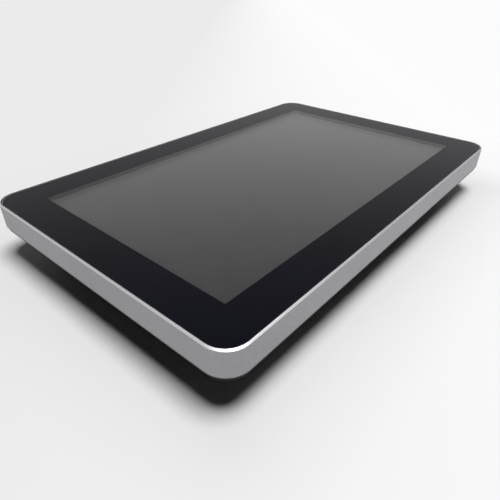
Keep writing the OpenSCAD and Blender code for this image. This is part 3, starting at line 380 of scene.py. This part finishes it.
# The ink reaches a hair into the glass, as it is fired on, so no air shows between them.
window_width, window_depth = 223.4 * MM, 129.6 * MM
window_radius = 0.3 * MM
print_radius = 10.2 * MM
bond = 0.03 * MM
ink = finish("border_ink", (0.0020, 0.0022, 0.0066), 0.5, grain=3000.0, depth=0.0, mottle=0.2)
ink.node_tree.nodes["Principled BSDF"].inputs["Specular IOR Level"].default_value = 0.0
low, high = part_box("border_print")
print_ring = flat_ring(
    outline(high.x - low.x, high.y - low.y, print_radius, 0),
    outline(window_width, window_depth, window_radius, 0),
    low.z, high.z + bond)
piece("border_print_ink", print_ring, ink, stands_for=("border_print",))
foam = finish("black_foam", (0.03, 0.03, 0.031), 0.9, grain=2200.0, depth=0.00004, mottle=0.2)
paint(foam, "glass_tape")

# ---- Touch electronics ----
# The sensor's amber film tail passes through the chassis plate to a small controller board, from which a thin
# black cable runs to the mainboard.
sensor_film, tree, surface = shader("clear_laminate")
surface.inputs["Roughness"].default_value = 0.2
surface.inputs["Base Color"].default_value = (0.6, 0.6, 0.58, 1)
clear = tree.nodes.new("ShaderNodeBsdfTransparent")
haze = spread(tree, noise(tree, 120.0), 0.0, 0.006)
blend_shaders(tree, haze, clear.outputs["BSDF"], surface.outputs["BSDF"])
paint(sensor_film, "touch_sensor")
tail_film = finish("amber_film", (0.42, 0.19, 0.03), 0.3, grain=1200.0, mottle=0.12)


def traces(material, track, width, pitch):
    """Draws copper tracks under the lacquer of a board: edges of square cells, turned a little each way."""
    tree = material.node_tree
    surface = tree.nodes["Principled BSDF"]
    under = surface.inputs["Base Color"].links[0].from_socket
    cells = tree.nodes.new("ShaderNodeTexVoronoi")
    cells.feature = "DISTANCE_TO_EDGE"
    cells.inputs["Scale"].default_value = 1 / pitch
    cells.inputs["Randomness"].default_value = 0.65
    where = tree.nodes.new("ShaderNodeTexCoord")
    tree.links.new(where.outputs["Object"], cells.inputs["Vector"])
    edge = tree.nodes.new("ShaderNodeMapRange")
    edge.inputs["From Min"].default_value = 0.0
    edge.inputs["From Max"].default_value = width / pitch
    edge.inputs["To Min"].default_value = 1.0
    edge.inputs["To Max"].default_value = 0.0
    tree.links.new(cells.outputs["Distance"], edge.inputs["Value"])
    tree.links.new(blend_colours(tree, edge.outputs["Result"], under, track), surface.inputs["Base Color"])


board = finish("green_board", (0.010, 0.085, 0.035), 0.32, grain=1800.0, mottle=0.25, coat=0.3)
traces(board, (0.030, 0.150, 0.060), 0.25 * MM, 2.2 * MM)
wire = finish("black_wire", (0.02, 0.02, 0.021), 0.45, grain=2500.0, mottle=0.1)
paint(tail_film, "touch_flex")
paint(board, "touch_controller")
paint(wire, "touch_cable")

# ---- Display module ----
# A bought-in liquid crystal display: a steel bezel holds the glass cell over films, a light guide and a row of
# white diodes in a steel tray. Switched off, its matt polariser shows as a dark grey sheet under the glass.
polariser, tree, surface = shader("matt_polariser")
mist = noise(tree, 5200.0, 2.0)
tone = blend_colours(tree, spread(tree, noise(tree, 25.0), 0, 1), (0.0012, 0.0006, 0.0036), (0.0018, 0.0010, 0.0046))
tree.links.new(tone, surface.inputs["Base Color"])
surface.inputs["Sheen Weight"].default_value = 1.0
surface.inputs["Sheen Roughness"].default_value = 0.5
surface.inputs["Sheen Tint"].default_value = (1.0, 0.975, 0.95, 1)
tree.links.new(spread(tree, mist, 0.19, 0.25), surface.inputs["Roughness"])
surface.inputs["IOR"].default_value = 1.9
relief(tree, surface, mist, 0.000001)
paint(polariser, "front_polariser")
gasket = finish("grey_gasket", (0.024, 0.0235, 0.0245), 0.8, grain=2600.0, depth=0.00003, mottle=0.15)
paint(gasket, "display_gasket")
black_steel = finish("black_steel", (0.045, 0.045, 0.047), 0.38, grain=1600.0, mottle=0.15)
paint(black_steel, "lcd_bezel")
cell = finish("display_cell", (0.03, 0.03, 0.035), 0.15, grain=900.0, mottle=0.1)
paint(cell, "lcd_panel")
white_film = finish("white_film", (0.80, 0.81, 0.82), 0.5, grain=900.0, mottle=0.03)
paint(white_film, "optical_films", "reflector_sheet")
acrylic = finish("acrylic", (0.78, 0.82, 0.84), 0.12, grain=1500.0, mottle=0.03)
paint(acrylic, "light_guide")
diodes = finish("diodes", (0.80, 0.74, 0.42), 0.35, grain=1500.0, mottle=0.1)
paint(diodes, "led_strip")
zinc = finish("zinc_sheet", (0.52, 0.53, 0.54), 0.34, metal=1.0, grain=700.0, mottle=0.12, swing=0.08)
paint(zinc, "lcd_tray", "display_bracket_left", "display_bracket_right", "chassis_plate")

# ---- Screws ----
# Pan-head machine screws of zinc-plated steel hold the chassis plate, the mainboard, the heatsink and the cards.
# Those of the rear housing show from outside, and are blackened.
plated = finish("plated_screw", (0.50, 0.50, 0.51), 0.28, metal=1.0, grain=3000.0, mottle=0.1)
paint(plated, "chassis_screws", "board_screws", "heatsink_screws", "card_screws")
black_screw = finish("black_screw", (0.03, 0.03, 0.032), 0.35, metal=0.6, grain=3000.0, mottle=0.15)
paint(black_screw, "cover_screws")

# ---- Mainboard and what stands on it ----
# A glass-fibre board with its processor under an extruded black heatsink, a memory module and two cards in their
# sockets, and a coin cell that keeps the clock going.
paint(board, "mainboard", "memory_module", "wifi_card", "button_board")
package = finish("chip_package", (0.035, 0.045, 0.04), 0.5, grain=2500.0, mottle=0.1)
paint(package, "processor")
pad = finish("thermal_pad", (0.28, 0.33, 0.45), 0.75, grain=1500.0, mottle=0.08)
paint(pad, "thermal_pad")
sink = finish("black_anodised", (0.035, 0.035, 0.037), 0.42, metal=0.7, grain=2500.0, mottle=0.1)
paint(sink, "heatsink")
nylon = finish("black_nylon", (0.020, 0.020, 0.022), 0.45, grain=2200.0, mottle=0.15)
paint(nylon, "memory_socket", "card_sockets", "coin_holder", "dc_jack", "com_jack", "drawer_jack", "switch_plunger")
blue_board = finish("blue_board", (0.008, 0.045, 0.12), 0.32, grain=1800.0, mottle=0.2, coat=0.3)
traces(blue_board, (0.020, 0.085, 0.19), 0.2 * MM, 1.8 * MM)
paint(blue_board, "ssd_card")
coin = finish("coin_steel", (0.62, 0.62, 0.60), 0.22, metal=1.0, grain=1500.0, mottle=0.06)
paint(coin, "coin_cell")


# ---- Small parts on the mainboard ----
# Between the big parts stand three moulded chips with gull-wing legs, rows of ceramic capacitors and resistors
# soldered by their ends, and three polymer capacitors in aluminium cans beside the power jack.
def block(shape, centre, size, bevel=0.0):
    """Adds a box with eased edges to a bmesh; the centre is that of its foot."""
    made = bmesh.ops.create_cube(shape, size=1.0)["verts"]
    bmesh.ops.scale(shape, verts=made, vec=size)
    bmesh.ops.translate(shape, verts=made, vec=Vector(centre) + Vector((0, 0, size[2] / 2)))
    if bevel:
        edges = list({edge for vert in made for edge in vert.link_edges})
        bmesh.ops.bevel(shape, geom=edges, offset=bevel, segments=2, affect="EDGES", profile=0.5)


def turned(shape, profile, centre, axis="Z", steps=24):
    """Adds a turned body: the profile is a list of (radius, height) pairs along the axis."""
    rings = []
    for radius, height in profile:
        ring = []
        for step in range(steps):
            angle = 2 * math.pi * step / steps
            x, y = radius * math.cos(angle), radius * math.sin(angle)
            point = Vector((x, y, height)) if axis == "Z" else Vector((x, height, y))
            ring.append(shape.verts.new(Vector(centre) + point))
        rings.append(ring)
    join_rings(shape, rings)
    shape.faces.new(rings[0])
    shape.faces.new(rings[-1])


def laid(length, width, lengthwise):
    """A small part's two measures in x and y, as it lies along the board or across it."""
    return (length, width) if lengthwise else (width, length)


board_top = 7.9 * MM
solder = finish("solder", (0.62, 0.62, 0.63), 0.3, metal=1.0, grain=3000.0, mottle=0.08)
moulding = finish("chip_moulding", (0.018, 0.018, 0.019), 0.55, grain=3500.0, mottle=0.12)
ceramic = finish("ceramic", (0.30, 0.20, 0.11), 0.45, grain=3000.0, mottle=0.1)

# Each chip: its x and y on the board, its side, and the legs on each side; all lengths in mm.
chips = ((50.0, -9.0, 9.0, 10), (50.5, 5.5, 7.0, 8), (46.0, 20.0, 5.0, 5))
chip_height, chip_lift, chip_edge = 1.1, 0.1, 0.12
leg_length, leg_width, leg_thickness = 1.0, 0.32, 0.2
leg_pitch, leg_reach = 0.8, 0.45
chip_bodies = bmesh.new()
chip_legs = bmesh.new()
for x, y, size, count in chips:
    block(chip_bodies, (x * MM, y * MM, board_top + chip_lift * MM), (size * MM, size * MM, chip_height * MM),
          chip_edge * MM)
    for side in range(4):
        quarter = Matrix.Rotation(side * math.pi / 2, 3, "Z")
        wide, deep = laid(leg_length, leg_width, side % 2 == 0)
        for leg in range(count):
            along = (leg - (count - 1) / 2) * leg_pitch
            foot = quarter @ Vector(((size / 2 + leg_reach) * MM, along * MM, 0))
            block(chip_legs, (x * MM + foot.x, y * MM + foot.y, board_top),
                  (wide * MM, deep * MM, leg_thickness * MM))
piece("chip_bodies", chip_bodies, moulding)
piece("chip_legs", chip_legs, solder)

# Small capacitors stand in rows where no chip is. One place in five stays empty, and half of them lie lengthwise.
rows, columns = 9, 7
row_pitch, column_pitch = 5.6, 3.1
first_row, first_column = -19.0, 40.5
chip_room = 2.2
empty_share, lying_share = 0.2, 0.5
body_length, body_width, body_height, body_edge = 1.6, 0.8, 0.7, 0.06
end_length, end_width, end_height, end_shift = 0.36, 0.86, 0.75, 0.65
scatter = random.Random(7)
small_bodies = bmesh.new()
small_ends = bmesh.new()
for row in range(rows):
    for column in range(columns):
        x, y = first_column + column_pitch * column, first_row + row_pitch * row
        free = all(abs(x - chip_x) > size / 2 + chip_room or abs(y - chip_y) > size / 2 + chip_room
                   for chip_x, chip_y, size, _ in chips)
        if not free or scatter.random() < empty_share:
            continue
        lying = scatter.random() < lying_share
        wide, deep = laid(body_length, body_width, lying)
        block(small_bodies, (x * MM, y * MM, board_top), (wide * MM, deep * MM, body_height * MM), body_edge * MM)
        for end in (-1, 1):
            shift_x, shift_y = laid(end * end_shift, 0, lying)
            wide, deep = laid(end_length, end_width, lying)
            block(small_ends, ((x + shift_x) * MM, (y + shift_y) * MM, board_top),
                  (wide * MM, deep * MM, end_height * MM))
piece("chip_capacitors", small_bodies, ceramic)
piece("chip_capacitor_ends", small_ends, solder)

# The cans have a crimped groove over their square nylon bases.
can_rows = (-76.5, -69.0, -61.5)
can_y = -25.9
can_profile = ((3.05, 0.8), (3.15, 1.1), (3.15, 1.6), (2.95, 1.8), (3.15, 2.0), (3.15, 5.9), (2.9, 6.2), (0.4, 6.2))
base_side, base_height, base_edge = 6.6, 0.9, 0.2
cans = bmesh.new()
bases = bmesh.new()
for x in can_rows:
    place = (x * MM, can_y * MM, board_top)
    block(bases, place, (base_side * MM, base_side * MM, base_height * MM), base_edge * MM)
    turned(cans, [(radius * MM, height * MM) for radius, height in can_profile], place)
piece("polymer_capacitors", cans, coin)
piece("capacitor_bases", bases, nylon)

# ---- Jacks ----
# Plated steel shells and black nylon bodies, soldered to the edge of the mainboard, with their mouths in the
# holes of the bay's back wall.
shell = finish("plated_shell", (0.60, 0.61, 0.62), 0.26, metal=1.0, grain=2000.0, mottle=0.08)
paint(shell, "hdmi_port", "usb_ports", "lan_jack", "power_switch")
gold = finish("gold_contact", (0.80, 0.58, 0.26), 0.24, metal=1.0, grain=3000.0, mottle=0.06)
jack_floor = board_top + 0.6 * MM
mouth_height = 7.6 * MM
catch_width, catch_height = 4.0 * MM, 1.5 * MM
contact_pitch = 1.1 * MM
contact_radius = 0.17 * MM


def wires(name, routes, radius, material):
    """Round wires along lists of points, as one curve with many splines."""
    curve = bpy.data.curves.new(name, "CURVE")
    curve.dimensions = "3D"
    curve.bevel_depth = radius
    curve.bevel_resolution = 3
    curve.use_fill_caps = True
    for route in routes:
        spline = curve.splines.new("POLY")
        spline.points.add(len(route) - 1)
        for point, place in zip(spline.points, route):
            point.co = (*place, 1)
    curve.materials.append(material)
    made = bpy.data.objects.new(name, curve)
    bpy.context.scene.collection.objects.link(made)
    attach(made, "terminal")


# Spring contacts: each lies on the mouth's floor, bends back on itself at the front and rises into the mouth.
# The bends are (depth behind the mouth, height over the floor) pairs, in mm.
contact_lift = 0.8 * MM
bends = ((11.5, 0), (3.0, 0), (2.5, 0.15), (2.4, 0.5), (2.7, 0.8), (9.5, 3.4), (10.6, 3.5))
routes = []
for name, count in (("lan_jack", 8), ("com_jack", 10), ("drawer_jack", 6)):
    low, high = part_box(name)
    centre, front = (low.x + high.x) / 2, low.y
    for i in range(count):
        x = centre + (i - (count - 1) / 2) * contact_pitch
        start = jack_floor + contact_lift
        routes.append([(x, front + depth * MM, start + rise * MM) for depth, rise in bends])
wires("jack_contacts", routes, contact_radius, gold)


def mouth_outline(width, inset):
    """A plug's mouth with the slot for its catch, as (x, z) points from the mouth's floor centre."""
    half_width, half_catch = width / 2 - inset, catch_width / 2 - inset
    low, shoulder, top = inset, mouth_height - inset, mouth_height + catch_height - inset
    return ((-half_width, low), (half_width, low), (half_width, shoulder), (half_catch, shoulder),
            (half_catch, top), (-half_catch, top), (-half_catch, shoulder), (-half_width, shoulder))


# The network jack's steel shell has a black nylon body in it, seen as the lining of its mouth.
# The lining's rings are (inset from the mouth's wall, depth) pairs, in mm.
lining_rings = ((0.02, 11.9), (0.02, 0.0), (0.30, 0.0), (0.30, 11.6))
lining_width = 11.7 * MM
low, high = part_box("lan_jack")
centre = (low.x + high.x) / 2
lining = bmesh.new()
rings = []
for inset, depth in lining_rings:
    points = mouth_outline(lining_width, inset * MM)
    rings.append([lining.verts.new((centre + x, low.y + depth * MM, jack_floor + z)) for x, z in points])
join_rings(lining, rings)
lining.faces.new(rings[0])
lining.faces.new(rings[-1])
piece("lan_jack_lining", lining, nylon)

# The flat ports' tongues are nylon too, with a row of flat contacts on one or both faces. Each port: its middle
# x and its box; the tongue's width, thickness and length; its contacts, their pitch and the faces they are on.
data_port_width = 13.1 * MM
video_low, video_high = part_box("hdmi_port")
data_low, data_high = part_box("usb_ports")
flat_ports = (
    ((video_low.x + video_high.x) / 2, video_low, video_high, 11.6, 1.0, 8.0, 10, 1.0, (-1, 1)),
    (data_low.x + data_port_width / 2, data_low, data_high, 9.9, 1.8, 11.0, 4, 2.3, (-1,)),
    (data_high.x - data_port_width / 2, data_low, data_high, 9.9, 1.8, 11.0, 4, 2.3, (-1,)))
skin, skin_tip, skin_edge = 0.05, 0.1, 0.1
tongue_start = 0.95
strip_thickness, strip_short, strip_back = 0.08, 1.2, 0.2
strip_share = 0.45  # of the pitch
tongues = bmesh.new()
strips = bmesh.new()
for x, low, high, width, thick, length, count, pitch, faces in flat_ports:
    middle = (low.z + high.z) / 2
    y = low.y + (tongue_start + length / 2) * MM
    size = ((width + 2 * skin) * MM, (length + skin_tip) * MM, (thick + 2 * skin) * MM)
    block(tongues, (x, y, middle - size[2] / 2), size, skin_edge * MM)
    for face in faces:
        for i in range(count):
            place = (x + (i - (count - 1) / 2) * pitch * MM, y - strip_back * MM,
                     middle + face * (thick / 2 + skin) * MM - strip_thickness / 2 * MM)
            block(strips, place, (strip_share * pitch * MM, (length - strip_short) * MM, strip_thickness * MM))
piece("port_tongues", tongues, nylon)
piece("port_contacts", strips, gold)

# The power jack's centre pin is a plated sleeve with a rounded tip.
pin_profile = ((1.04, 10.4), (1.04, 1.75), (0.98, 1.5), (0.80, 1.32), (0.45, 1.26))
low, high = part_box("dc_jack")
pin = bmesh.new()
turned(pin, [(radius * MM, height * MM) for radius, height in pin_profile],
       ((low.x + high.x) / 2, low.y, (low.z + high.z) / 2), axis="Y")
piece("dc_pin", pin, shell)

# ---- Cables inside ----
# The display's ribbon, the two antennas with their thin coaxial cables, and the cables of the power key and
# the loudspeakers, all with their ends pressed on small connectors.
ivory = finish("ivory_nylon", (0.72, 0.68, 0.55), 0.45, grain=1800.0, mottle=0.05)
paint(ivory, "display_connector")
paint(wire, "display_cable", "button_cable")
grey_wire = finish("grey_wire", (0.42, 0.42, 0.43), 0.45, grain=2500.0, mottle=0.08)
paint(grey_wire, "antenna_cables")
red_wire = finish("red_wire", (0.25, 0.02, 0.02), 0.45, grain=2500.0, mottle=0.1)
paint(red_wire, "speaker_cables")
paint(tail_film, "wifi_antennas")

# ---- Power key ----
# A small key of the frame's own aluminium, blasted and anodised with it. A flange behind the frame's wall keeps it
# in, and it presses the plunger of a sealed switch.
paint(metal, "power_button")

# ---- Rear housing ----
# One black ABS moulding with a fine spark-eroded texture: a flange under the frame, leaning walls, vents, a bay
# for the plugs and a raised pad for a mounting plate, with brass inserts set hot into its pillars.
abs_black, tree, surface = shader("textured_abs")
sparks = noise(tree, 1900.0, 4.0, 0.6)
tone = blend_colours(tree, spread(tree, noise(tree, 45.0), 0, 1), (0.0095, 0.0095, 0.0100), (0.0130, 0.0130, 0.0135))
tree.links.new(tone, surface.inputs["Base Color"])
tree.links.new(spread(tree, sparks, 0.50, 0.68), surface.inputs["Roughness"])
surface.inputs["Specular IOR Level"].default_value = 0.28
relief(tree, surface, sparks, 0.00003)
paint(abs_black, "rear_cover", "cable_cover")
brass = finish("insert_brass", (0.72, 0.53, 0.24), 0.30, metal=1.0, grain=2500.0, mottle=0.1)
paint(brass, "mount_inserts")

# ---- Feet ----
# Four round feet of soft black rubber, each moulded as one disc and glued in a shallow seat near a corner of the
# rear housing's floor.
rubber = finish("foot_rubber", (0.014, 0.014, 0.015), 0.75, grain=2600.0, depth=0.00002, mottle=0.15)
paint(rubber, "rubber_feet")

# ---- Loudspeakers ----
# Two flat loudspeakers in closed nylon boxes, each on a foam ring over its own grille in the floor. In each, an
# oval cone of pressed paper with a domed cap hangs in a roll of soft rubber, seen through the grille.
paint(nylon, "speaker_left", "speaker_right")
paint(foam, "speaker_gaskets")
paper = finish("cone_paper", (0.055, 0.052, 0.050), 0.8, grain=1400.0, depth=0.00006, mottle=0.2)


def stack(loops, closed):
    """A skin through loops of equal length, closed at the last or left open."""
    shape = bmesh.new()
    rings = [[shape.verts.new(point) for point in loop] for loop in loops]
    join_rings(shape, rings)
    if closed:
        shape.faces.new(rings[-1])
    return shape


# Each section of the roll and the cone: its width, its depth and its height, in mm.
roll = ((25.8, 15.9, 5.75), (25.4, 15.5, 5.45), (24.6, 14.7, 5.36), (23.8, 13.9, 5.45), (23.3, 13.4, 5.80))
cone = ((23.5, 13.6, 5.78), (17.0, 9.5, 6.45), (11.0, 5.6, 7.15),
        (9.6, 4.6, 6.75), (7.0, 2.9, 6.45), (4.5, 1.2, 6.35))
driver_parts = (("roll", roll, rubber, "foot_rubber"), ("cone", cone, paper, "gasket_foam"))
for side in ("left", "right"):
    low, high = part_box("speaker_" + side)
    middle = Vector(((low.x + high.x) / 2, (low.y + high.y) / 2, 0))
    for part, sections, material, slot in driver_parts:
        loops = []
        for width, depth, z in sections:
            loop = outline(width * MM, depth * MM, depth / 2 * MM, z * MM)
            loops.append([Vector(point) + middle for point in loop])
        made = piece("speaker_" + part + "_" + side, stack(loops, part == "cone"), material)
        made.data.polygons.foreach_set("use_smooth", [True] * len(made.data.polygons))
